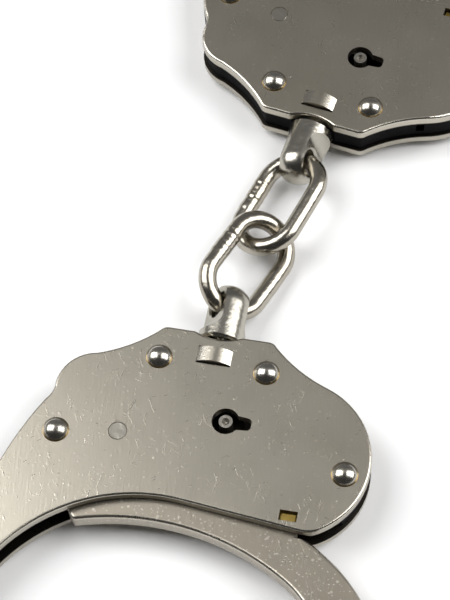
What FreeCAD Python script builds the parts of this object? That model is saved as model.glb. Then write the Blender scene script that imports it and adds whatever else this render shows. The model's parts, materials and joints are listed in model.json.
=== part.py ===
import FreeCAD, Part
import math
import os
from FreeCAD import Matrix, Vector

# A pair of swing-through chain handcuffs, in millimetres, lying flat with both bows closed.
# Each cuff is drawn once in its own plan (u to the mouth side, v to the chain, z up) and the
# second cuff is the mirror image of the first, as the real pair is made.

# ---- thicknesses, from the surface that the rivet heads rest on ----
DOME_RISE = 1.7            # how far the rivet heads stand out of the cheek plates
PLATE = 2.0                # one cheek plate
ARM_THICK = 4.0            # the toothed arm that swings between the plates
ARM_FACE_GAP = 0.3         # between the arm's face and a plate
LOCK_FACE_GAP = 0.4        # between the lock's moving pieces and a plate
EDGE_ROUND = 0.5           # rounded outer edges of the cheek plates
CORNER_ROUND = 0.9         # corners of the plates' outline
ARM_ROUND = 0.7            # rounded edges of the toothed arm
ARM_CORNER = 0.9           # rounding of the arm's upright corners

# ---- cheek plate, in the cuff's own plan ----
TOP_EDGE = 6.6             # the straight edge at the swivel
TOP_HALF = 9.8             # half the length of that edge
WRIST_R = 33.0             # the curved edge against the wrist
WRIST_TOP = -27.6          # how near that edge comes to the lock
WRIST_U = -3.55
BOW_WIDTH = 11.5           # width of the double bow
BOW_START = 155.0          # where the double bow's outer arc begins
BOW_END_IN = 165.0         # where its inner edge tightens towards the hinge
BOW_END_OUT = 185.0        # where its outer edge does
MOUTH_CORNER = (23.4, -30.05)
MOUTH_ROUND = 5.0          # rounding of the plates' corner at the mouth

# ---- hinge and toothed arm ----
HINGE_U = -4.9
HINGE_BELOW = 19.0         # from the wrist opening's centre
BOSS_R = 6.2
HINGE_PIN_R = 3.0
HINGE_HEAD_R = 4.6
TOOTH_TOP = -23.0          # how high the tooth tips reach
ARM_RUN = 0.05             # running fit of the arm on its rivet
ARM_WIDTH = 8.7
ARM_TIP_DEG = 108.5
ARM_BEND_OUT = 54.0        # where the outer edge leaves the tooth circle
ARM_BEND_IN = 58.0         # where the inner edge leaves its own circle
TOOTH_DEPTH = 1.2
TOOTH_PITCH = 2.5          # degrees about the hinge
TOOTH_FIRST = 62.5
TOOTH_COUNT = 17
TIP_TAPER = 1.3
TIP_EASE = 1.2             # degrees between the last tooth, the taper and the blunt end
TIP_NOSE = (1.6, 3.4)      # height of the blunt end's two corners above the arm's inner edge

# ---- fastenings ----
RIVETS = [(-10.25, 0.0), (10.25, 0.0), (-26.1, -18.0), (27.9, -17.7)]
RIVET_R = 1.6
RIVET_HEAD_R = 2.5
PAWL_PIN = (-14.7, -16.3)
PAWL_PIN_R = 1.8
PIN_CHAMFER = 0.15
KEY_POST = (4.6, -11.0)
KEY_POST_R = 1.3
KEY_POST_SHANK_R = 1.7
KEY_POST_SINK = 0.1        # the post's top below the plate's face
KEY_POST_DIMPLE = (0.2, 0.7, 0.6)  # radius at the bottom, radius at the top, depth
KEYHOLE_R = 2.6
KEY_REACH = 4.8            # the key's bit, from the post's centre
KEY_SLOT_HALF = 1.2
KEY_SLOT_ROUND = 0.8

# ---- lock frame and the pieces in it ----
FRAME_INSET = 0.6
CHANNEL_CLEAR = 0.4        # between the tooth tips and the lock frame
LOCK_ROOM = (-31.5, -31.0)  # left and lower limits of the lock frame
CHAMBER = [(-17.9, -28.0), (-17.9, -14.0), (-14.0, -12.4), (-9.6, -8.4), (-1.0, -5.4), (13.9, -3.9),
           (13.9, -28.0)]
PAWL_BOSS_R = 3.0
PAWL_RUN = 0.05            # running fit of the pawl on its pin
PAWL_BACK = [(-4.0, -16.6), (9.9, -16.6), (9.9, -9.7), (7.6, -9.2), (7.9, -7.6), (9.2, -6.8), (12.9, -6.8),
             (12.9, -22.0), (11.4, -23.0)]
PAWL_HEEL = (-3.4, -21.2)
MESH_GAP = 0.2
MESH_SIDE = 0.12           # degrees between the flanks of pawl and ratchet
PAWL_TEETH = 3
PAWL_TOOTH_SINK = 0.8      # how deep the teeth run into the pawl's body
PAWL_EDGE = (0.3, 0.2)     # degrees the body runs past its first and last tooth
PAWL_NECK = (0.6, 0.1)     # where the body meets the boss round the pin
PAWL_LAST_TOOTH = 85.0
BAR_LENGTH = 12.4
BAR_TALL = 2.1
BAR_START = 13.6
BAR_LOW = -6.55
BAR_CLEAR = 0.1
BAR_END_ROOM = 0.4
DETENT_U = (16.0, 24.0)    # ends of the bent leaf under the bar
DETENT_DEEP = 1.1
DETENT_GAP = 0.08
DETENT_ROOM = (0.2, 0.1)   # beyond the ends of the leaf and below it
RIM_SLOT_U = 20.5
RIM_SLOT = (1.6, 2.2)
SPRING_STRIP = 0.5
SPRING_FIT = (0.05, 0.1)   # beside the pawl spring's upright leg and beyond its ends
SPRING_U = -9.0            # the pawl spring's upright leg
SPRING_ROOT = (-4.8, -8.9)
SPRING_TIP = (-2.6, -15.9)
SPRING_BEND = (0.35, 0.45, 0.2)  # how the back of the strip steps at its tip and its bend
LEAF_STRIP = 0.3
GUIDE_U = (16.2, 20.9)
GUIDE_TOP = -24.9
GUIDE_BELOW = 3.7          # from the mouth's corner down to the guide's lower end
MOUTH_FLARE = (1.2, 0.8)   # where the mouth of the lock frame starts to slope, and its drop
GUIDE_TAB = (2.6, 1.3)
GUIDE_TAB_AT = (19.2, -27.4)
GUIDE_TAB_SINK = 0.9
WINDOW_ROOM = 0.35         # round the guide's tab in the plates
GUIDE_CLEAR = 0.35
GUIDE_FIT = 0.1            # between the guide and the lock frame

# ---- swivel ----
HEAD_R = 3.2
HEAD_CHAMFER = 0.3
HEAD_LONG = 2.5
HEAD_AT = 0.55
NECK_R = 2.1
BARREL_R = 4.5
BARREL_AT = 6.25
BARREL_CHAMFER = 0.5
SWIVEL_END_ROUND = 4.2
EYE_AT = 14.4
EYE_ROOM = 0.85            # between the link's wire and the eye
EYE_WALL = 1.75            # beyond the eye
EYE_MOUTH = 0.6            # rounding of the eye's mouth
EYE_THICK = 5.0
FLAT_AT = 11.0
FLAT_SWEEP = 3.0           # concave radius that runs the flats out into the barrel
SWIVEL_CLEAR = 0.25
BRIDGE_ROOM = 0.45         # under the pressed-out bridges over the swivel's head
BRIDGE_CROWN = 1.8         # thickness of a bridge at its middle
SLIT = 0.3

# ---- chain ----
WIRE = 3.6
LINK_HOLE_LONG = 17.6      # inside length of a link
LINK_HOLE_WIDE = 8.5
LINK_SIT = 0.27            # how far the wire sits back from the eye's centre

# ---- how the pieces lie: plan position, turn of each cuff, roll of each swivel and link ----
CUFF_A = (-3.35, 158.03)
TURN_A = -15.23
CUFF_B = (23.14, 216.81)
TURN_B = -23.97
ROLL_A, SWING_A, SLEW_A = -32.1, 6.6, 20.4
ROLL_B, SWING_B, SLEW_B = 21.1, -0.3, -10.7

# ---- worked-out sizes ----
PLATE_GAP = ARM_THICK + 2 * ARM_FACE_GAP
LOCK_THICK = PLATE_GAP - 2 * LOCK_FACE_GAP
WRIST_CENTRE = (WRIST_U, WRIST_TOP - WRIST_R)
HINGE = (HINGE_U, WRIST_CENTRE[1] - HINGE_BELOW)
ARM_R_TIP = TOOTH_TOP - HINGE[1]
EYE_R = WIRE / 2 + EYE_ROOM
SWIVEL_END = EYE_AT + EYE_R + EYE_WALL
LINK_LONG = LINK_HOLE_LONG + WIRE
LINK_WIDE = LINK_HOLE_WIDE + WIRE
BRIDGE_HALF = HEAD_R + 0.1
BRIDGE_INNER = HEAD_R - 0.3
HEAD_SLOT = (HEAD_AT - SWIVEL_CLEAR, HEAD_AT + HEAD_LONG + SWIVEL_CLEAR)

# ---- worked-out heights ----
Z_REAR = DOME_RISE
Z_GAP = Z_REAR + PLATE
Z_FRONT = Z_GAP + PLATE_GAP
Z_FACE = Z_FRONT + PLATE
Z_MID = Z_GAP + PLATE_GAP / 2
Z_ARM = (Z_MID - ARM_THICK / 2, Z_MID + ARM_THICK / 2)
Z_LOCK = (Z_MID - LOCK_THICK / 2, Z_MID + LOCK_THICK / 2)
ARM_R_ROOT = ARM_R_TIP - TOOTH_DEPTH
CHANNEL_R = ARM_R_TIP + CHANNEL_CLEAR
BEYOND = 100.0             # well outside any outline


# ---- drawing helpers ----
def polar(centre, radius, degrees):
    a = math.radians(degrees)
    return (centre[0] + radius * math.cos(a), centre[1] + radius * math.sin(a))


def flat_wire(start, pieces, z=0.0):
    """A closed wire in the plan. A piece is one point for a line, or two for an arc."""
    edges = []
    here = Vector(start[0], start[1], z)
    for piece in pieces + [[start]]:
        points = [Vector(p[0], p[1], z) for p in piece]
        if (points[-1] - here).Length > 1e-6:
            if len(points) == 1:
                edges.append(Part.makeLine(here, points[0]))
            else:
                edges.append(Part.Arc(here, points[0], points[1]).toShape())
        here = points[-1]
    return Part.Wire(edges)


def slab(wire, low, high):
    face = Part.Face(wire)
    face.translate(Vector(0, 0, low - wire.BoundBox.ZMin))
    return face.extrude(Vector(0, 0, high - low))


def polygon(points, low, high):
    return slab(flat_wire(points[0], [[p] for p in points[1:]]), low, high)


def disc(centre, radius, low, high):
    return Part.makeCylinder(radius, high - low, Vector(centre[0], centre[1], low))


def block(u, v, z):
    return Part.makeBox(u[1] - u[0], v[1] - v[0], z[1] - z[0], Vector(u[0], v[0], z[0]))


def turned(profile, base, axis, across):
    """A solid of revolution. The profile's points are (along the axis, radius)."""
    edges = []
    here = base + axis * profile[0][0] + across * profile[0][1]
    first = here
    for step in profile[1:] + [profile[0]]:
        stops = step if isinstance(step, list) else [step]
        points = [base + axis * p[0] + across * p[1] for p in stops]
        if len(points) == 2:
            edges.append(Part.Arc(here, points[0], points[1]).toShape())
        elif (points[0] - here).Length > 1e-6:
            edges.append(Part.makeLine(here, points[0]))
        here = points[-1]
    assert (here - first).Length < 1e-6
    return Part.Face(Part.Wire(edges)).revolve(base, axis, 360)


def rim_edges(solid, z):
    return [e for e in solid.Edges if abs(e.BoundBox.ZMin - z) < 1e-5 and abs(e.BoundBox.ZMax - z) < 1e-5]


def upright_corners(solid, least_turn):
    """The upright edges where two side faces meet at more than a given angle in degrees."""
    corners = []
    for edge in solid.Edges:
        if edge.BoundBox.ZLength < 1e-3 or edge.BoundBox.XLength + edge.BoundBox.YLength > 1e-4:
            continue
        normals = []
        for face in solid.ancestorsOfType(edge, Part.Face):
            u, v = face.Surface.parameter(edge.valueAt(edge.FirstParameter))
            normals.append(face.normalAt(u, v))
        if math.degrees(normals[0].getAngle(normals[1])) > least_turn:
            corners.append(edge)
    return corners


def softened(solid, radius, least_turn=4.0):
    return solid.makeFillet(radius, upright_corners(solid, least_turn))


def tangent_degrees(point, centre, radius):
    """Where on a circle the straight line from an outside point touches it."""
    across, up = point[0] - centre[0], point[1] - centre[1]
    return math.degrees(math.atan2(up, across) + math.acos(radius / math.hypot(across, up)))


def bottom_arc_radius(start_radius, degrees, bottom):
    """Radius of the arc that leaves a circle about WRIST_CENTRE at an angle and ends level at a height."""
    s = math.sin(math.radians(degrees))
    return (WRIST_CENTRE[1] + start_radius * s - bottom) / (1 + s)


# ---- outline shared by the two cheek plates and the lock frame ----
def plate_outline():
    outer_r = WRIST_R + BOW_WIDTH
    hinge_top = HINGE[1] + BOSS_R
    hinge_low = HINGE[1] - BOSS_R
    tight_in = bottom_arc_radius(WRIST_R, BOW_END_IN, hinge_top)
    tight_out = bottom_arc_radius(outer_r, BOW_END_OUT, hinge_low)
    centre_in = polar(WRIST_CENTRE, WRIST_R - tight_in, BOW_END_IN)
    centre_out = polar(WRIST_CENTRE, outer_r - tight_out, BOW_END_OUT)
    shoulder_left = (-22.0, -1.0)
    shoulder_right = (22.0, -1.0)
    neck = (-28.4, -10.4)
    start = (-TOP_HALF, TOP_EDGE)
    return flat_wire(start, [
        [(-4.6, TOP_EDGE)],
        [(0.0, TOP_EDGE - 1.1), (4.6, TOP_EDGE)],
        [(TOP_HALF, TOP_EDGE)],
        [(TOP_HALF + 0.8, TOP_EDGE - 0.25), (TOP_HALF + 1.4, TOP_EDGE - 0.8)],
        [(16.0, 1.95), shoulder_right],
        [(32.45, -16.2), MOUTH_CORNER],
        [polar(WRIST_CENTRE, WRIST_R, tangent_degrees(MOUTH_CORNER, WRIST_CENTRE, WRIST_R))],
        [polar(WRIST_CENTRE, WRIST_R, 105), polar(WRIST_CENTRE, WRIST_R, BOW_END_IN)],
        [polar(centre_in, tight_in, 220), (centre_in[0], hinge_top)],
        [(HINGE[0], hinge_top)],
        [(HINGE[0] + BOSS_R, HINGE[1]), (HINGE[0], hinge_low)],
        [(centre_out[0], hinge_low)],
        [polar(centre_out, tight_out, 225), polar(WRIST_CENTRE, outer_r, BOW_END_OUT)],
        [polar(WRIST_CENTRE, outer_r, 170), polar(WRIST_CENTRE, outer_r, BOW_START)],
        [(-34.9, -25.4)],
        [(-32.1, -17.4), (neck[0] - 1.2, neck[1] - 1.7)],
        [(neck[0] - 0.35, neck[1] - 0.3), (neck[0], neck[1] + 1.2)],
        [(-26.9, -3.9), shoulder_left],
        [(-16.0, 1.95), (-TOP_HALF - 1.4, TOP_EDGE - 0.8)],
        [(-TOP_HALF - 0.8, TOP_EDGE - 0.25), start],
    ])


def bridge(outward):
    """One pressed-out strap over the swivel's head. outward is +1 on the front plate."""
    base = PLATE_GAP / 2
    face = base + PLATE
    inner_crown = HEAD_R + BRIDGE_ROOM
    points = [(-BRIDGE_HALF, base), (-BRIDGE_INNER, base), (0, inner_crown), (BRIDGE_INNER, base),
              (BRIDGE_HALF, base), (BRIDGE_HALF, face), (0, inner_crown + BRIDGE_CROWN), (-BRIDGE_HALF, face)]
    p = [Vector(u, HEAD_SLOT[0], Z_MID + outward * z) for u, z in points]
    edges = [Part.makeLine(p[0], p[1]), Part.Arc(p[1], p[2], p[3]).toShape(), Part.makeLine(p[3], p[4]),
             Part.makeLine(p[4], p[5]), Part.Arc(p[5], p[6], p[7]).toShape(), Part.makeLine(p[7], p[0])]
    strap = Part.Face(Part.Wire(edges))
    return strap.extrude(Vector(0, HEAD_SLOT[1] - HEAD_SLOT[0], 0))


def cheek_plate(front):
    low, high = (Z_FRONT, Z_FACE) if front else (Z_REAR, Z_GAP)
    plate = slab(plate_outline(), low, high)
    at_mouth = Vector(MOUTH_CORNER[0], MOUTH_CORNER[1], low)
    upright = [e for e in plate.Edges if e.BoundBox.ZLength > PLATE / 2]
    mouth = [e for e in upright if e.distToShape(Part.Vertex(at_mouth))[0] < 0.1]
    plate = softened(plate.makeFillet(MOUTH_ROUND, mouth), CORNER_ROUND)
    plate = plate.makeFillet(EDGE_ROUND, rim_edges(plate, high if front else low))
    window = block((-BRIDGE_HALF, BRIDGE_HALF), (HEAD_SLOT[0] - SLIT, HEAD_SLOT[1] + SLIT), (low, high))
    holes = [disc(p, RIVET_R, low, high) for p in RIVETS]
    holes += [disc(PAWL_PIN, PAWL_PIN_R, low, high), disc(HINGE, HINGE_PIN_R, low, high), window]
    tab_u, tab_v = GUIDE_TAB[0] / 2 + WINDOW_ROOM, GUIDE_TAB[1] / 2 + WINDOW_ROOM
    holes.append(block((GUIDE_TAB_AT[0] - tab_u, GUIDE_TAB_AT[0] + tab_u),
                       (GUIDE_TAB_AT[1] - tab_v, GUIDE_TAB_AT[1] + tab_v), (low, high)))
    if front:
        slot_end = KEY_POST[0] + KEY_REACH
        slot = polygon([(KEY_POST[0], KEY_POST[1] - KEYHOLE_R * 0.62),
                        (slot_end, KEY_POST[1] - KEY_SLOT_HALF),
                        (slot_end, KEY_POST[1] + KEY_SLOT_HALF),
                        (KEY_POST[0], KEY_POST[1] + KEYHOLE_R * 0.62)], low, high)
        upright = [e for e in slot.Edges if e.BoundBox.ZLength > PLATE / 2]
        corners = [e for e in upright if e.BoundBox.XMin > slot_end - 0.1]
        holes += [disc(KEY_POST, KEYHOLE_R, low, high), slot.makeFillet(KEY_SLOT_ROUND, corners)]
    else:
        holes.append(disc(KEY_POST, KEY_POST_SHANK_R, low, high))
    return plate.cut(holes).fuse(bridge(1 if front else -1)).removeSplitter()


def lock_frame():
    corner = Vector(LOCK_ROOM[0] - FRAME_INSET, LOCK_ROOM[1] - FRAME_INSET, 0)
    lock_end = Part.Face(plate_outline()).common(Part.makePlane(BEYOND, BEYOND, corner)).Faces[0]
    frame = slab(lock_end.OuterWire.makeOffset2D(-FRAME_INSET), Z_GAP, Z_FRONT)
    cavity = polygon(CHAMBER, Z_GAP, Z_FRONT)
    guide_side = GUIDE_U[0] - GUIDE_FIT
    mouth = polygon([(guide_side, GUIDE_TOP), (GUIDE_U[1] + MOUTH_FLARE[0], GUIDE_TOP),
                     (BEYOND, GUIDE_TOP - MOUTH_FLARE[1]), (BEYOND, -BEYOND),
                     (guide_side, -BEYOND)], Z_GAP, Z_FRONT)
    head = block((-HEAD_R - SWIVEL_CLEAR, HEAD_R + SWIVEL_CLEAR), HEAD_SLOT, (Z_GAP, Z_FRONT))
    neck = block((-NECK_R - SWIVEL_CLEAR, NECK_R + SWIVEL_CLEAR), (HEAD_AT, TOP_EDGE), (Z_GAP, Z_FRONT))
    bar_high = BAR_LOW + BAR_TALL
    bar = block((BAR_START - BAR_END_ROOM, BAR_START + BAR_LENGTH + BAR_END_ROOM),
                (BAR_LOW - BAR_CLEAR, bar_high + BAR_CLEAR), (Z_GAP, Z_FRONT))
    detent = block((DETENT_U[0] - DETENT_ROOM[0], DETENT_U[1] + DETENT_ROOM[0]),
                   (BAR_LOW - DETENT_DEEP - DETENT_ROOM[1], BAR_LOW), (Z_GAP, Z_FRONT))
    rim = block((RIM_SLOT_U - RIM_SLOT[0] / 2, RIM_SLOT_U + RIM_SLOT[0] / 2), (bar_high, TOP_EDGE),
                (Z_MID - RIM_SLOT[1] / 2, Z_MID + RIM_SLOT[1] / 2))
    half_slot = SPRING_STRIP / 2 + SPRING_FIT[0]
    spring = block((SPRING_U - half_slot, SPRING_U + half_slot),
                   (SPRING_ROOT[1] - SPRING_FIT[1], SPRING_ROOT[0] + SPRING_FIT[1]), (Z_GAP, Z_FRONT))
    cuts = [disc(HINGE, CHANNEL_R, Z_GAP, Z_FRONT), cavity, mouth, head, neck, bar, detent, rim, spring]
    cuts += [disc(p, RIVET_R, Z_GAP, Z_FRONT) for p in RIVETS]
    return frame.cut(cuts).removeSplitter()


# ---- fastenings ----
def domed_pin(at, shank, head):
    radius = (head * head + DOME_RISE * DOME_RISE) / (2 * DOME_RISE)
    half = math.asin(head / radius) / 2
    side = (radius * math.cos(half) - (radius - DOME_RISE), radius * math.sin(half))
    profile = [(-DOME_RISE, 0.0), [(-side[0], side[1]), (0.0, head)], (0.0, shank)]
    top = Z_FACE - Z_REAR
    profile += [(top, shank), (top, head), [(top + side[0], side[1]), (top + DOME_RISE, 0.0)]]
    return turned(profile, Vector(at[0], at[1], Z_REAR), Vector(0, 0, 1), Vector(1, 0, 0))


def plain_pin(at, radius):
    pin = disc(at, radius, Z_REAR, Z_FACE)
    return pin.makeChamfer(PIN_CHAMFER, rim_edges(pin, Z_REAR) + rim_edges(pin, Z_FACE))


def key_post():
    post = disc(KEY_POST, KEY_POST_R, Z_GAP, Z_FACE - KEY_POST_SINK)
    shank = disc(KEY_POST, KEY_POST_SHANK_R, Z_REAR, Z_GAP)
    bottom_r, top_r, deep = KEY_POST_DIMPLE
    dimple = Part.makeCone(bottom_r, top_r, deep, Vector(*KEY_POST, Z_FACE - KEY_POST_SINK - deep))
    return post.fuse(shank).cut(dimple)


# ---- toothed arm, concentric with the hinge where it passes the lock ----
def ratchet_arm():
    inner_r = ARM_R_TIP - ARM_WIDTH
    s_out, s_in = math.sin(math.radians(ARM_BEND_OUT)), math.sin(math.radians(ARM_BEND_IN))
    bend_out = (BOSS_R + ARM_R_TIP * s_out) / (1 + s_out)
    bend_in = (inner_r * s_in - BOSS_R) / (1 + s_in)
    centre_out = polar(HINGE, ARM_R_TIP - bend_out, ARM_BEND_OUT)
    centre_in = polar(HINGE, inner_r - bend_in, ARM_BEND_IN)
    low, high = HINGE[1] - BOSS_R, HINGE[1] + BOSS_R
    taper_at = TOOTH_FIRST + TOOTH_PITCH * (TOOTH_COUNT - 1) + TIP_EASE
    start = polar(HINGE, ARM_R_TIP, taper_at)
    outline = flat_wire(start, [
        [polar(HINGE, ARM_R_TIP, 80), polar(HINGE, ARM_R_TIP, ARM_BEND_OUT)],
        [polar(centre_out, bend_out, -20), (centre_out[0], low)],
        [(HINGE[0], low)],
        [(HINGE[0] - BOSS_R, HINGE[1]), (HINGE[0], high)],
        [(centre_in[0], high)],
        [polar(centre_in, bend_in, -15), polar(HINGE, inner_r, ARM_BEND_IN)],
        [polar(HINGE, inner_r, 80), polar(HINGE, inner_r, ARM_TIP_DEG - 1.0)],
        [polar(HINGE, inner_r + TIP_NOSE[0], ARM_TIP_DEG), polar(HINGE, inner_r + TIP_NOSE[1], ARM_TIP_DEG)],
        [polar(HINGE, ARM_R_ROOT - TIP_TAPER, ARM_TIP_DEG - TIP_EASE)],
        [polar(HINGE, ARM_R_ROOT - 0.2, taper_at + 0.6)],
    ])
    arm = softened(slab(outline, Z_ARM[0], Z_ARM[1]), ARM_CORNER)
    arm = arm.makeFillet(ARM_ROUND, rim_edges(arm, Z_ARM[0]) + rim_edges(arm, Z_ARM[1]))
    notches = []
    for k in range(TOOTH_COUNT):
        root = TOOTH_FIRST + k * TOOTH_PITCH
        notches.append(polygon([polar(HINGE, ARM_R_TIP + 0.5, root - TOOTH_PITCH),
                                polar(HINGE, ARM_R_TIP, root - TOOTH_PITCH),
                                polar(HINGE, ARM_R_ROOT, root),
                                polar(HINGE, ARM_R_TIP + 0.5, root)], Z_ARM[0] - 1, Z_ARM[1] + 1))
    hole = disc(HINGE, HINGE_PIN_R + ARM_RUN, Z_ARM[0] - 1, Z_ARM[1] + 1)
    return arm.cut(notches + [hole])


# ---- lock ----
def pawl():
    tip = ARM_R_TIP + MESH_GAP
    first = PAWL_LAST_TOOTH - (PAWL_TEETH - 1) * TOOTH_PITCH
    right = polar(HINGE, tip, first - TOOTH_PITCH - PAWL_EDGE[0])
    left = polar(HINGE, tip, PAWL_LAST_TOOTH + PAWL_EDGE[1])
    boss_u, boss_v = PAWL_PIN[0] + PAWL_NECK[0], PAWL_BOSS_R - PAWL_NECK[1]
    body = slab(flat_wire((boss_u, PAWL_PIN[1] + boss_v), [[p] for p in PAWL_BACK] + [
        [right], [polar(HINGE, tip, first), left], [PAWL_HEEL], [(boss_u, PAWL_PIN[1] - boss_v)],
    ]), Z_LOCK[0], Z_LOCK[1])
    solids = [disc(PAWL_PIN, PAWL_BOSS_R, Z_LOCK[0], Z_LOCK[1])]
    for k in range(PAWL_TEETH):
        flank = first + k * TOOTH_PITCH - MESH_SIDE
        solids.append(polygon([polar(HINGE, tip + PAWL_TOOTH_SINK, flank),
                               polar(HINGE, ARM_R_ROOT + MESH_GAP, flank),
                               polar(HINGE, tip, flank - TOOTH_PITCH),
                               polar(HINGE, tip + PAWL_TOOTH_SINK, flank - TOOTH_PITCH)],
                              Z_LOCK[0], Z_LOCK[1]))
    hole = disc(PAWL_PIN, PAWL_PIN_R + PAWL_RUN, Z_LOCK[0], Z_LOCK[1])
    return body.fuse(solids).cut(hole).removeSplitter()


def pawl_spring():
    t = SPRING_STRIP / 2
    root, knee = SPRING_ROOT
    tip_u, tip_v, bend = SPRING_BEND
    return polygon([(SPRING_U - t, root), (SPRING_U + t, root), (SPRING_U + t, knee), SPRING_TIP,
                    (SPRING_TIP[0] - tip_u, SPRING_TIP[1] - tip_v), (SPRING_U - t, knee - bend)],
                   Z_LOCK[0], Z_LOCK[1])


def double_lock_bar():
    bar = block((BAR_START, BAR_START + BAR_LENGTH), (BAR_LOW, BAR_LOW + BAR_TALL), Z_LOCK)
    notch = disc((RIM_SLOT_U, BAR_LOW + BAR_TALL), RIM_SLOT[0] / 2, Z_LOCK[0], Z_LOCK[1])
    return bar.cut(notch)


def double_lock_spring():
    left, right = DETENT_U
    middle = (left + right) / 2
    low = BAR_LOW - DETENT_DEEP
    crown = BAR_LOW - DETENT_GAP
    leaf = flat_wire((left, low), [[(left, low + LEAF_STRIP)], [(middle, crown), (right, low + LEAF_STRIP)],
                                   [(right, low)], [(middle, crown - LEAF_STRIP), (left, low)]])
    return slab(leaf, Z_LOCK[0], Z_LOCK[1])


def mouth_guide():
    blank = block(GUIDE_U, (MOUTH_CORNER[1] - GUIDE_BELOW, GUIDE_TOP), (Z_GAP, Z_FRONT))
    bar = blank.cut(disc(HINGE, ARM_R_TIP + GUIDE_CLEAR, Z_GAP, Z_FRONT))
    half_u, half_v = GUIDE_TAB[0] / 2, GUIDE_TAB[1] / 2
    tab = block((GUIDE_TAB_AT[0] - half_u, GUIDE_TAB_AT[0] + half_u),
                (GUIDE_TAB_AT[1] - half_v, GUIDE_TAB_AT[1] + half_v),
                (Z_REAR + GUIDE_TAB_SINK, Z_FACE - GUIDE_TAB_SINK))
    tab = tab.cut(disc(HINGE, ARM_R_TIP + GUIDE_CLEAR, Z_GAP, Z_FRONT))
    return bar.fuse(tab).removeSplitter()


# ---- swivel, drawn along v with its eye across the shank ----
def swivel(roll):
    base = Vector(0, 0, Z_MID)
    axis, across = Vector(0, 1, 0), Vector(1, 0, 0)
    r = SWIVEL_END_ROUND
    knee = (SWIVEL_END - r + r * math.sin(math.radians(45)), BARREL_R - r + r * math.cos(math.radians(45)))
    profile = [(HEAD_AT, 0.0), (HEAD_AT, HEAD_R - HEAD_CHAMFER), (HEAD_AT + HEAD_CHAMFER, HEAD_R),
               (HEAD_AT + HEAD_LONG, HEAD_R),
               (HEAD_AT + HEAD_LONG, NECK_R), (BARREL_AT, NECK_R), (BARREL_AT, BARREL_R - BARREL_CHAMFER),
               (BARREL_AT + BARREL_CHAMFER, BARREL_R), (SWIVEL_END - r, BARREL_R),
               [knee, (SWIVEL_END, BARREL_R - r)], (SWIVEL_END, 0.0)]
    post = turned(profile, base, axis, across)
    half = EYE_THICK / 2
    turn = math.radians(45)
    cutters = []
    for side in (1, -1):
        start = (side * half, FLAT_AT)
        middle = (side * (half + FLAT_SWEEP * (1 - math.cos(turn))), FLAT_AT - FLAT_SWEEP * math.sin(turn))
        end = (side * (half + FLAT_SWEEP), FLAT_AT - FLAT_SWEEP)
        wire = flat_wire(start, [[middle, end], [(end[0], SWIVEL_END + 1)], [(start[0], SWIVEL_END + 1)]])
        cutters.append(slab(wire, Z_MID - BARREL_R - 1, Z_MID + BARREL_R + 1))
    eye = Part.makeCylinder(EYE_R, 2 * BARREL_R, Vector(-BARREL_R, EYE_AT, Z_MID), Vector(1, 0, 0))
    cutters.append(eye)
    post = post.cut(cutters)
    rims = [e for e in post.Edges if isinstance(e.Curve, Part.Circle) and abs(e.Curve.Radius - EYE_R) < 1e-4]
    post = post.makeFillet(EYE_MOUTH, rims)
    post.rotate(base, axis, -roll)
    return post


# ---- chain link, drawn about its own centre: length along x, width along y ----
def chain_link():
    straight = (LINK_LONG - LINK_WIDE) / 2
    half = LINK_WIDE / 2
    pieces = []
    for end in (1, -1):
        section = Part.Face(Part.Wire(Part.makeCircle(WIRE / 2, Vector(end * straight, end * half, 0),
                                                      Vector(1, 0, 0))))
        pieces.append(section.extrude(Vector(-end * 2 * straight, 0, 0)))
        pieces.append(section.revolve(Vector(end * straight, 0, 0), Vector(0, 0, 1), -180))
    return pieces[0].fuse(pieces[1:]).removeSplitter()


# ---- placing: the second cuff is mirrored ----
def to_cuff(mirrored):
    """The matrix that takes a cuff's own plan to its place."""
    at, turn = (CUFF_B, TURN_B) if mirrored else (CUFF_A, TURN_A)
    c, s = math.cos(math.radians(turn)), math.sin(math.radians(turn))
    flip = -1 if mirrored else 1
    return Matrix(c, -s * flip, 0, at[0], s, c * flip, 0, at[1], 0, 0, 1, 0, 0, 0, 0, 1)


def place(shape, mirrored):
    """Move a shape with rigid steps only, so that its surfaces stay plain planes and cylinders."""
    moved = shape.copy()
    if mirrored:
        moved = moved.mirror(Vector(0, 0, 0), Vector(0, 1, 0))
    at, turn = (CUFF_B, TURN_B) if mirrored else (CUFF_A, TURN_A)
    moved.rotate(Vector(0, 0, 0), Vector(0, 0, 1), turn)
    moved.translate(Vector(at[0], at[1], 0))
    return moved


def link_frame(mirrored):
    """Centre and directions of a link whose bow passes through its swivel's eye, and the eye's own."""
    m = to_cuff(mirrored)
    origin = m.multVec(Vector(0, 0, 0))
    side = m.multVec(Vector(1, 0, 0)) - origin
    shank = m.multVec(Vector(0, 1, 0)) - origin
    up = Vector(0, 0, 1)
    roll, swing, slew = (ROLL_B, SWING_B, SLEW_B) if mirrored else (ROLL_A, SWING_A, SLEW_A)
    roll, swing, slew = math.radians(roll), math.radians(swing), math.radians(slew)
    eye = origin + shank * EYE_AT + up * Z_MID
    eye_axis = side * math.cos(roll) + up * math.sin(roll)
    lean = eye_axis.cross(shank)
    away = shank * math.cos(swing) + lean * math.sin(swing)
    bow = eye + away * (LINK_WIDE / 2 - LINK_SIT)
    along = away * math.cos(slew) + eye_axis * math.sin(slew)
    wide = eye_axis * math.cos(slew) - away * math.sin(slew)
    centre = bow + along * ((LINK_LONG - LINK_WIDE) / 2)
    return {"eye": eye, "eye_axis": eye_axis, "shank": shank, "centre": centre, "along": along, "wide": wide,
            "far": centre + along * (LINK_LONG / 2)}


def placed_link(mirrored):
    f = link_frame(mirrored)
    normal = f["along"].cross(f["wide"])
    rotation = FreeCAD.Rotation(f["along"], f["wide"], normal, "ZXY")
    shape = chain_link()
    shape.Placement = FreeCAD.Placement(f["centre"], rotation)
    return shape


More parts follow.
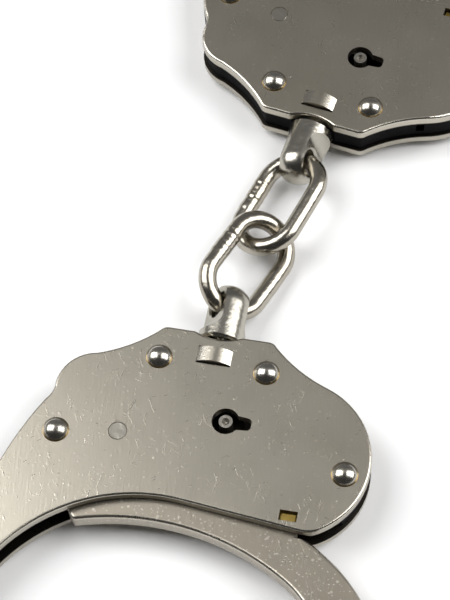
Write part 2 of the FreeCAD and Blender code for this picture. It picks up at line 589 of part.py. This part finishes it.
def cuff_parts(mirrored):
    shapes = {
        "front_cheek_plate": cheek_plate(True),
        "rear_cheek_plate": cheek_plate(False),
        "lock_frame": lock_frame(),
        "cheek_rivets": Part.makeCompound([domed_pin(p, RIVET_R, RIVET_HEAD_R) for p in RIVETS]),
        "hinge_rivet": domed_pin(HINGE, HINGE_PIN_R, HINGE_HEAD_R),
        "key_post": key_post(),
        "pawl_pin": plain_pin(PAWL_PIN, PAWL_PIN_R),
        "pawl": pawl(),
        "pawl_spring": pawl_spring(),
        "double_lock_bar": double_lock_bar(),
        "double_lock_spring": double_lock_spring(),
        "mouth_guide": mouth_guide(),
        "ratchet_arm": ratchet_arm(),
        "swivel": swivel(ROLL_B if mirrored else ROLL_A),
    }
    suffix = "_b" if mirrored else "_a"
    return {name + suffix: place(shape, mirrored) for name, shape in shapes.items()}


def build():
    parts = {}
    parts.update(cuff_parts(False))
    parts.update(cuff_parts(True))
    parts["chain_link_a"] = placed_link(False)
    parts["chain_link_b"] = placed_link(True)
    return parts


# ---- the origin is the middle of the footprint, on the surface that the rivet heads rest on ----
PARTS = build()
SPAN = Part.makeCompound(list(PARTS.values())).optimalBoundingBox(True, False)
SHIFT = Vector(-(SPAN.XMin + SPAN.XMax) / 2, -(SPAN.YMin + SPAN.YMax) / 2, -SPAN.ZMin)
os.makedirs("parts", exist_ok=True)
for name, shape in PARTS.items():
    shape.translate(SHIFT)
    shape.exportStep("parts/" + name + ".step")
    print(name, "solids", len(shape.Solids), "valid", shape.isValid(), "volume %.1f" % shape.Volume)
print("size", SPAN.XLength, SPAN.YLength, SPAN.ZLength, "shift", SHIFT)
print("between the links", PARTS["chain_link_a"].distToShape(PARTS["chain_link_b"])[0],
      "lowest", min(PARTS["chain_link_a"].BoundBox.ZMin, PARTS["chain_link_b"].BoundBox.ZMin))
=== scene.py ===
# %% [markdown]
# # A pair of chain handcuffs
# Two plated steel cuffs lie closed on a pale table, joined by two swivels and two welded links.
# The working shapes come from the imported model, which this file loads first and never changes.
# What is done here is the part that the eye judges: the welded links, the wear on the plating,
# the light and the camera. Everything is in metres, in the model's own frame: the cuffs lie flat,
# +Z is up out of their faces and +Y runs from one cuff to the other.

# %% The frame
import bpy
import json
import math
import numpy as np
from mathutils import Matrix, Vector


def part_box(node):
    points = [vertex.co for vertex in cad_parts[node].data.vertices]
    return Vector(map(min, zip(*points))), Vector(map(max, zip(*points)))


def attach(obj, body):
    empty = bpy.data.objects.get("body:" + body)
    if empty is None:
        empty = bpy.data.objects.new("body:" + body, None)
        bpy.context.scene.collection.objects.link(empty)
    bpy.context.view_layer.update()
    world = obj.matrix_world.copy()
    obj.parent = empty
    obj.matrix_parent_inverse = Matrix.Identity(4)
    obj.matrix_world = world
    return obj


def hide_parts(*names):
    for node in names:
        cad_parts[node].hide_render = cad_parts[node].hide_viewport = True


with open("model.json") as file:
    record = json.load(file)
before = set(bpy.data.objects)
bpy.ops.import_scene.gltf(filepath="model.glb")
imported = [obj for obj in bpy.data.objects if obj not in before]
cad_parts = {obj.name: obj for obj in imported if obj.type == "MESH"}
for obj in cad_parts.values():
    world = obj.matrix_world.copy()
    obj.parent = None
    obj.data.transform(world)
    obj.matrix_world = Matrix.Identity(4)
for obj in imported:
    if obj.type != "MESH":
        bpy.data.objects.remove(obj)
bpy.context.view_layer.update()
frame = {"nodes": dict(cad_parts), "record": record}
MM = 0.001

# %% [markdown]
# ## Heights that the finishes need
# The plating wears, and is painted lighter as a highlight, where the plates' faces turn into their edges.
# A brown painted shade sits where the rivet heads meet the plates, and a dark painted shade covers the
# plates' faces inside the gap. Both places are read off the model: the front and rear faces of a plate, and
# the middle of the gap.

# %% Heights
REAR_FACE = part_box("pawl_pin_a")[0].z
FRONT_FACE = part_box("pawl_pin_a")[1].z
MIDDLE = (REAR_FACE + FRONT_FACE) / 2
HALF_GAP = (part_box("lock_frame_a")[1].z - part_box("lock_frame_a")[0].z) / 2
print("faces at", round(REAR_FACE / MM, 2), "and", round(FRONT_FACE / MM, 2), "mm")


# %% [markdown]
# ## Shader maths as plain sums
# A finish is a recipe of noises, thresholds and mixes. Written as node calls it is hard to read, so
# one small class wraps a socket and lets Python's own operators add the Math nodes. Colours and
# vectors go through Mix and Vector Math, because a Math node would turn a colour grey.

# %% Sockets that add up
class Socket:
    """An output in a finish that can be added, multiplied and compared."""

    def __init__(self, finish, output):
        self.finish = finish
        self.output = output

    def sum(self, operation, first, second=0.0):
        return self.finish.node("ShaderNodeMath", {"operation": operation}, [first, second])

    def __add__(self, other):
        return self.sum("ADD", self, other)

    def __sub__(self, other):
        return self.sum("SUBTRACT", self, other)

    def __rsub__(self, other):
        return self.sum("SUBTRACT", other, self)

    def __mul__(self, other):
        return self.sum("MULTIPLY", self, other)

    def __abs__(self):
        return self.sum("ABSOLUTE", self)

    __radd__ = __add__
    __rmul__ = __mul__

    def ramp(self, low, high):
        """0 below low, 1 above high, smooth between. Give high first for the reverse."""
        settings = {"interpolation_type": "SMOOTHSTEP"}
        sockets = {"Value": self, "From Min": low, "From Max": high}
        return self.finish.node("ShaderNodeMapRange", settings, sockets)


# %% [markdown]
# ## A finish and its nodes
# Every finish starts from the same shader and the same two readings: where a point is on its piece
# and which way the surface faces there. Both stay with the piece when it moves, so the wear moves
# with it. One method makes any node from its type, its settings and the values of its sockets.

# %% One finish
class Finish:
    """A material under construction, with one method for every kind of node."""

    def __init__(self, name):
        self.material = bpy.data.materials.new(name)
        self.material.use_nodes = True
        self.tree = self.material.node_tree
        self.shader = self.tree.nodes["Principled BSDF"]
        self.place = self.node("ShaderNodeTexCoord", {}, {}, "Object")
        self.facing = self.node("ShaderNodeTexCoord", {}, {}, "Normal")

    def node(self, kind, settings, sockets, output=0):
        made = self.tree.nodes.new(kind)
        for key, value in settings.items():
            setattr(made, key, value)
        pairs = enumerate(sockets) if isinstance(sockets, list) else sockets.items()
        for key, value in pairs:
            if key in range(len(made.inputs)) or key in made.inputs:
                self.feed(made.inputs[key], value)
        return Socket(self, made.outputs[output])

    def feed(self, target, value):
        if isinstance(value, Socket):
            self.tree.links.new(value.output, target)
        elif target.type == "RGBA":
            target.default_value = (*value, 1.0)
        else:
            target.default_value = value

    def blend(self, factor, first, second):
        """Mixes two colours."""
        sockets = {0: factor, 6: first, 7: second}
        return self.node("ShaderNodeMix", {"data_type": "RGBA"}, sockets, 2)

    def noise(self, scale, detail, where=None):
        sockets = {"Vector": where or self.place, "Scale": scale, "Detail": detail}
        return self.node("ShaderNodeTexNoise", {}, sockets)

    def stretched(self, turn, scale):
        """The place, first turned about the plate's face and then stretched, for grain and scratches."""
        turned = {"Vector": self.place, "Rotation": (0.0, 0.0, math.radians(turn))}
        straight = self.node("ShaderNodeMapping", {}, turned)
        return self.node("ShaderNodeMapping", {}, {"Vector": straight, "Scale": scale})

    def height(self, axis):
        return self.node("ShaderNodeSeparateXYZ", {}, {0: self.place}, axis)

    def tilt(self, axis):
        return self.node("ShaderNodeSeparateXYZ", {}, {0: self.facing}, axis)

    def bump(self, height, depth, strength):
        sockets = {"Height": height, "Distance": depth, "Strength": strength}
        self.feed(self.shader.inputs["Normal"], self.node("ShaderNodeBump", {}, sockets))

    def set(self, **values):
        for key, value in values.items():
            self.feed(self.shader.inputs[key.replace("_", " ")], value)


# %% [markdown]
# ## Scratches, specks, and rubbed edges with a painted highlight
# Plated steel that is carried about collects hair scratches, pale specks and rubbed edges. Scratches
# could be drawn on an image, but a noise stretched a hundred times in one direction gives the same
# thin lines at any size. Specks come from the cells of a Voronoi pattern, where only some cells are
# lit. A rubbed edge needs no drawing: it is where the surface turns over from face to side, and the same
# mask also paints a highlight along the edge.

# %% Marks shared by the plated pieces
def scratches(finish, turn, spacing, length, width):
    """Thin straight lines, in patches: only the sharpest ridges of a stretched noise are left."""
    where = finish.stretched(turn, (1 / spacing, 1 / length, 1 / length))
    line = finish.noise(1.0, 0.0, where).ramp(0.82 - width, 0.82)
    patch_scale = 1 / (2 * length) + turn   # the turn gives each direction patches of its own
    return line * finish.noise(patch_scale, 1.0).ramp(0.50, 0.62)


def specks(finish, size, share):
    """Small round dots at random places, share of them shown."""
    grid = {"Vector": finish.place, "Scale": 1 / size}
    distance = finish.node("ShaderNodeTexVoronoi", {}, grid, "Distance")
    cell_colour = finish.node("ShaderNodeTexVoronoi", {}, grid, "Color")
    chosen = finish.node("ShaderNodeSeparateXYZ", {}, {0: cell_colour}, 0).ramp(1 - share, 1 - share + 0.02)
    return distance.ramp(0.30, 0.12) * chosen


def rubbed_and_lit_edge(finish):
    """1 on a rolled edge of a plate, 0 on its face and on its side; it places rubbed wear and a painted
    highlight.
    """
    upright = abs(finish.tilt(2))
    return upright.ramp(0.995, 0.93) * upright.ramp(0.05, 0.3)


def tinted(colour, red, green, blue):
    return (colour[0] * red, colour[1] * green, colour[2] * blue)


# %% [markdown]
# ## Satin nickel
# The cheek plates and the arm are stamped, tumbled and nickel plated. The face has a very fine
# grain, a faint warm cloudiness and the marks above; its rolled edges and sides are lightened with a
# painted highlight, and between the plates a dark painted shade stands in for the shadow in the gap. Each
# of these is laid over the last with a mask of its own, so each can be turned up or down by itself.

# %% Plates and arm
HAIR_LINES = [(24, 0.00022, 0.004), (-52, 0.00020, 0.0025), (71, 0.00022, 0.002), (-15, 0.0002, 0.003)]
BRUISED = (0.68, 0.64, 0.56)
# Lighter tone for rubbed wear and a painted highlight on the edges, and a painted highlight on the sides.
RUBBED_AND_LIT = (0.60, 0.57, 0.51)
# Painted shade for the plates' faces inside the gap, standing in for the shadow there.
GAP_SHADE = (0.045, 0.038, 0.030)


def satin_nickel(name, base, roughness, speck_share, wear, mark, gap_shade):
    finish = Finish(name)
    cloud = finish.noise(90.0, 3.0)
    stain = finish.noise(38.0, 4.0).ramp(0.52, 0.75)
    fine = finish.noise(2600.0, 2.0)
    grain = finish.noise(1.0, 2.0, finish.stretched(8, (3200.0, 180.0, 180.0)))
    dots = specks(finish, 0.7 * MM, speck_share) + specks(finish, 1.3 * MM, speck_share * 0.3)
    lines = sum(scratches(finish, turn, spacing, length, wear) for turn, spacing, length in HAIR_LINES)
    edge = rubbed_and_lit_edge(finish)
    side = abs(finish.tilt(2)).ramp(0.3, 0.05)
    inside = abs(finish.height(2) - MIDDLE).ramp(HALF_GAP + 0.3 * MM, HALF_GAP + 0.1 * MM)
    colour = finish.blend(stain * 0.30, base, tinted(base, 0.86, 0.80, 0.68))
    colour = finish.blend(cloud.ramp(0.35, 0.65) * 0.18, colour, tinted(base, 0.88, 0.88, 0.88))
    colour = finish.blend((grain - 0.5) * 0.5 + 0.25, colour, tinted(base, 0.80, 0.80, 0.79))
    colour = finish.blend((dots + lines * 0.4).ramp(0.0, 1.0) * mark, colour, BRUISED)
    # Rolled edges are lightened as rubbed wear and as a painted highlight; the plates' sides get a fainter
    # painted highlight.
    colour = finish.blend(edge * 0.45 + side * 0.15, colour, RUBBED_AND_LIT)
    # Painted shade: the faces inside the gap are darkened as if they were in shadow.
    colour = finish.blend(inside * gap_shade, colour, GAP_SHADE)
    finish.set(Base_Color=colour, Metallic=1.0)
    finish.set(Roughness=roughness + cloud * 0.08 + fine * 0.06 - edge * 0.06 - lines * 0.05)
    finish.bump(fine * 0.8 + grain * 0.8 + dots + lines * 0.5, 0.02 * MM, 0.5)
    return finish.material


# %% [markdown]
# ## Bright nickel
# Rivet heads, swivels and links have the same plating over a polished surface, so they mirror the
# room. A brown painted shade stays in the dark ring where a rivet head meets its plate; it is placed by its
# distance from the plates' faces. The flush pins are ground with the plate and show only their outline.

# %% Polished pieces
PIT = (0.30, 0.27, 0.22)
# Brown painted shade for the dark ring at the foot of a rivet head.
FOOT_SHADE = (0.42, 0.29, 0.11)


def bright_nickel(name, base, roughness, pitted, shaded_foot=False):
    finish = Finish(name)
    cloud = finish.noise(140.0, 3.0)
    fine = finish.noise(1500.0, 3.0)
    pits = specks(finish, 0.9 * MM, 0.3)
    lumps = finish.noise(520.0, 2.0).ramp(0.35, 0.75) * pitted
    colour = finish.blend(cloud.ramp(0.45, 0.75) * 0.30, base, tinted(base, 0.82, 0.76, 0.66))
    colour = finish.blend(pits * pitted, colour, PIT)
    # Painted shade: a brown ring at the foot of each rivet head, where it meets the plate.
    if shaded_foot:
        off_face = abs(abs(finish.height(2) - MIDDLE) - (FRONT_FACE - MIDDLE))
        colour = finish.blend(off_face.ramp(0.55 * MM, 0.15 * MM) * 0.9, colour, FOOT_SHADE)
    finish.set(Base_Color=colour, Metallic=1.0, Roughness=roughness + cloud * 0.07 + fine * 0.05)
    finish.bump(fine * 0.5 + lumps * 2.5 - pits * pitted, 0.05 * MM, 0.6)
    return finish.material


# %% [markdown]
# ## Black oxide
# The spacer between the plates is blackened steel, almost without shine. A metal shader would mirror
# the bright table in it, so it is made as a dark coating with its reflection turned nearly off.

# %% Blackened spacer
SOOT = (0.003, 0.003, 0.003)
WORN_SOOT = (0.010, 0.009, 0.010)


def black_oxide(name):
    finish = Finish(name)
    cloud = finish.noise(160.0, 4.0)
    streak = finish.noise(1.0, 3.0, finish.stretched(0, (200.0, 200.0, 2600.0)))
    finish.set(Base_Color=finish.blend(cloud.ramp(0.3, 0.8), SOOT, WORN_SOOT), Metallic=0.0)
    finish.set(Roughness=0.52 + cloud * 0.16 + streak * 0.08, Specular_IOR_Level=0.05)
    finish.bump(streak + cloud, 0.03 * MM, 0.5)
    return finish.material


# %% [markdown]
# ## Brass, springs and lock steel
# The guide in the small window is dull brass, the springs are blued and the lock's levers are
# oiled steel. They are small or hidden, so one recipe serves: two colours in clouds, and a drawn
# grain that the sheet or strip kept from rolling.

# %% Unplated metals
def plain_metal(name, base, dark, roughness):
    finish = Finish(name)
    cloud = finish.noise(220.0, 3.0)
    streak = finish.noise(1.0, 2.0, finish.stretched(15, (300.0, 2400.0, 300.0)))
    finish.set(Base_Color=finish.blend(cloud.ramp(0.3, 0.75), base, dark), Metallic=1.0)
    finish.set(Roughness=roughness + streak * 0.12)
    finish.bump(streak, 0.02 * MM, 0.4)
    return finish.material


# %% [markdown]
# ## Which piece has which finish
# The model names a slot for every piece. A finish is made once for each slot and shared by the
# pieces in it, as one plating bath would be. The flush pins and the key posts share a slot with the
# rivets but are ground flat, so they are picked out by name.

# %% Finishes by slot
FINISHES = {
    "cheek_plate": satin_nickel("satin nickel plate", (0.460, 0.426, 0.358), roughness=0.23,
                                speck_share=0.30, wear=0.08, mark=0.22, gap_shade=0.92),
    "arm": satin_nickel("satin nickel arm", (0.375, 0.338, 0.278), roughness=0.27,
                        speck_share=0.80, wear=0.22, mark=0.55, gap_shade=0.0),
    "rivet": bright_nickel("polished rivet", (0.44, 0.42, 0.375), 0.17, 0.25, shaded_foot=True),
    "pin": bright_nickel("flush pin", (0.36, 0.34, 0.30), 0.26, 0.3),
    "swivel": bright_nickel("bright swivel", (0.40, 0.38, 0.33), 0.18, 0.3),
    "link": bright_nickel("bright wire", (0.40, 0.37, 0.315), 0.17, 0.4),
    "lock_frame": black_oxide("black oxide"),
    "guide": plain_metal("dull brass", (0.40, 0.29, 0.08), (0.24, 0.16, 0.04), 0.26),
    "spring": plain_metal("blued spring", (0.22, 0.23, 0.27), (0.12, 0.12, 0.15), 0.28),
    "lock_steel": plain_metal("oiled steel", (0.10, 0.095, 0.09), (0.05, 0.047, 0.044), 0.40),
}
slot_of = {part["node"]: part["material_slot"] for part in frame["record"]["subparts"]}
for name, piece in frame["nodes"].items():
    piece.data.materials.clear()
    flush = name.startswith(("pawl_pin", "key_post"))
    piece.data.materials.append(FINISHES["pin" if flush else slot_of[name]])
print("finished", len(frame["nodes"]), "nodes")


# %% [markdown]
# ## Welded chain links
# A link is a length of wire bent round and butt welded on one side, which leaves a lumpy band on
# that bar. The model's link is smooth, so a lumpy one is made over it. First the place of the link
# is measured from the model: its centre, and the long, wide and thin directions of its skin. They
# are the axes along which the skin spreads most, next and least.

# %% Where a link lies
def lie_of(name):
    """Centre and turned axes of a flat loop, from the area of its triangles."""
    mesh = frame["nodes"][name].data
    mesh.calc_loop_triangles()
    corners = np.array([[mesh.vertices[i].co[:] for i in t.vertices] for t in mesh.loop_triangles])
    middle = corners.mean(axis=1)
    area = np.array([t.area for t in mesh.loop_triangles])[:, None]
    centre = (middle * area).sum(axis=0) / area.sum()
    spread = (middle - centre) * np.sqrt(area)
    values, axes = np.linalg.eigh(spread.T @ spread)
    along, wide = Vector(axes[:, 2]), Vector(axes[:, 1])
    along = along if along.y > 0 else -along
    wide = wide if wide.x > 0 else -wide
    thin = along.cross(wide)
    reach = (corners.reshape(-1, 3) - centre) @ np.array([along, wide, thin]).T
    size = reach.max(axis=0) - reach.min(axis=0)
    place = Matrix((along, wide, thin)).transposed().to_4x4()
    place.translation = Vector(centre)
    return place, size


for letter in "ab":
    print("link", letter, "measures", (lie_of("chain_link_" + letter)[1] / MM).round(2), "mm")

# %% [markdown]
# ## Shaping one link
# The link could be swept along a curve, but then the weld would need a mesh of its own. Here a torus
# is pulled apart at its waist, which gives the two round ends and the two straight bars at once. The
# bars are cut into rings, and the rings on the welded bar are swollen and shifted a little, each by
# its own random amount, as the weld left them. Smoothing at the end rounds the steps off.

# %% Picking points in edit mode
def choose(piece, test):
    """Edit mode, with only the vertices that pass the test selected."""
    bpy.ops.object.mode_set(mode="OBJECT")
    for part in (piece.data.polygons, piece.data.edges):
        part.foreach_set("select", [False] * len(part))
    for vertex in piece.data.vertices:
        vertex.select = test(vertex.co)
    bpy.ops.object.mode_set(mode="EDIT")
    bpy.ops.mesh.select_mode(type="VERT")


# %% One link
RINGS_EACH_WAY = 9
RINGS_REACH = 0.96      # share of the straight bar that is cut into rings
WELD_REACH = 0.75       # share of the straight bar that the weld and its scale cover
SWELL = (-0.02, 0.05)
WANDER = 0.06 * MM


def welded_link(name, node, seed):
    place, size = lie_of(node)
    wire_radius = size[2] / 2
    bend = size[1] / 2 - wire_radius
    straight = (size[0] - size[1]) / 2
    bpy.ops.object.select_all(action="DESELECT")
    bpy.ops.mesh.primitive_torus_add(major_radius=bend, minor_radius=wire_radius,
                                     major_segments=48, minor_segments=20)
    link = bpy.context.object
    link.name = name
    for side in (1, -1):
        choose(link, lambda p: p.x * side > 1e-6)
        bpy.ops.transform.translate(value=(side * straight, 0, 0))
    for cut in range(-RINGS_EACH_WAY, RINGS_EACH_WAY + 1):
        bpy.ops.mesh.select_all(action="SELECT")
        offset = cut / RINGS_EACH_WAY * straight * RINGS_REACH + 0.01 * MM
        bpy.ops.mesh.bisect(plane_co=(offset, 0, 0), plane_no=(1, 0, 0))
    bpy.ops.object.mode_set(mode="OBJECT")
    random = np.random.default_rng(seed)
    rings = sorted({round(v.co.x, 6) for v in link.data.vertices if abs(v.co.x) < straight and v.co.y < 0})
    for ring in rings:
        if abs(ring) < straight * WELD_REACH:
            swell = 1 + random.uniform(*SWELL)
            shift = random.uniform(-WANDER, WANDER, 3)
            choose(link, lambda p: abs(p.x - ring) < 2e-6 and p.y < 0)
            bpy.ops.transform.resize(value=(1, swell, swell), center_override=(ring, -bend, 0))
            bpy.ops.transform.translate(value=(0, shift[1], shift[2]))
    bpy.ops.object.mode_set(mode="OBJECT")
    smooth = link.modifiers.new("smooth", "SUBSURF")
    smooth.levels = smooth.render_levels = 2
    bpy.ops.object.modifier_apply(modifier=smooth.name)
    link.data.transform(place)
    bpy.ops.object.shade_smooth()
    link.data.materials.append(FINISHES["link"])
    print(name, "wire", round(2 * wire_radius / MM, 2), "mm,", len(link.data.polygons), "faces")
    return link


WELD_SEED = {"a": 11, "b": 23}
for letter, seed in WELD_SEED.items():
    link = welded_link("welded_link_" + letter, "chain_link_" + letter, seed)
    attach(link, "link_" + letter)
    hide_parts("chain_link_" + letter)

# %% [markdown]
# ## Table
# The cuffs lie on pale card that runs out of sight. A plane much larger than the cuffs is enough.

# %% Table
bpy.ops.object.select_all(action="DESELECT")
bpy.ops.mesh.primitive_plane_add(size=6.0, location=(0, 0, 0))
table = bpy.context.object
table.name = "table"
card = Finish("pale card")
card.set(Base_Color=(0.92, 0.92, 0.92), Roughness=0.9)
table.data.materials.append(card.material)
print("table", round(table.dimensions.x, 1), "m across")

# %% [markdown]
# ## Light
# Nickel has hardly any colour of its own: what it shows is the room. Two large soft boxes stand left
# and right with a dim gap between them overhead. The gap is what draws the dark line down each rivet
# head, and the left box lightens the left of the near plate. The rest of the room is a grey that
# changes from front to back, and a flat plate takes its tone from the part it mirrors.

# %% Soft boxes
BOX_SIZE = (0.9, 1.3)


def soft_box(name, place, watts):
    """A lamp the size of a door, aimed at the cuffs."""
    light = bpy.data.lights.new(name, "AREA")
    light.shape = "RECTANGLE"
    light.size, light.size_y = BOX_SIZE
    light.energy = watts
    holder = bpy.data.objects.new(name, light)
    bpy.context.collection.objects.link(holder)
    holder.location = place
    holder.rotation_euler = (-Vector(place)).to_track_quat("-Z", "Y").to_euler()
    print(name, watts, "W at", round(Vector(place).length, 2), "m")


soft_box("left soft box", (-0.84, 0.30, 1.02), 19.0)
soft_box("right soft box", (0.95, -0.05, 0.95), 18.0)

# %% Room
GREY_TOWARDS_BACK = [(0.0, 0.05), (0.28, 0.34), (0.44, 0.32), (0.62, 0.16), (1.0, 0.22)]
room = bpy.data.worlds.new("room")
room.use_nodes = True
nodes, links = room.node_tree.nodes, room.node_tree.links
towards = nodes.new("ShaderNodeSeparateXYZ")
links.new(nodes.new("ShaderNodeTexCoord").outputs["Generated"], towards.inputs[0])
fade = nodes.new("ShaderNodeValToRGB")
while len(fade.color_ramp.elements) < len(GREY_TOWARDS_BACK):
    fade.color_ramp.elements.new(1.0)
for element, (position, grey) in zip(fade.color_ramp.elements, GREY_TOWARDS_BACK):
    element.position = position
    element.color = (grey, grey, grey, 1.0)
links.new(towards.outputs["Y"], fade.inputs[0])
links.new(fade.outputs["Color"], nodes["Background"].inputs["Color"])
bpy.context.scene.world = room
bpy.context.scene.view_settings.view_transform = "Standard"
print("room greys", [grey for position, grey in GREY_TOWARDS_BACK])

# %% [markdown]
# ## Camera
# The camera stands over the near cuff, looks down along the pair and is rolled a few degrees, so the
# chain runs up the picture. A long lens from a little way off keeps the two cuffs nearly the same
# size. Its place is a matrix, turned first and then moved, which avoids a target object.

# %% Camera
CAMERA_AT = Vector((-0.00934, -0.18922, 0.32850))
LOOK_DOWN = 61.67       # degrees below level
ROLL = -4.91
SENSOR_HEIGHT = 24.0    # millimetres, as is the lens
FOCAL_LENGTH = 75.7
lens = bpy.data.cameras.new("camera")
lens.sensor_fit = "VERTICAL"
lens.sensor_height = SENSOR_HEIGHT
lens.lens = FOCAL_LENGTH
camera = bpy.data.objects.new("camera", lens)
bpy.context.collection.objects.link(camera)
turn = Matrix.Rotation(math.radians(90 - LOOK_DOWN), 4, "X") @ Matrix.Rotation(math.radians(ROLL), 4, "Z")
camera.matrix_world = Matrix.Translation(CAMERA_AT) @ turn
bpy.context.scene.camera = camera
print("camera", round(CAMERA_AT.length, 3), "m from the middle of the pair")
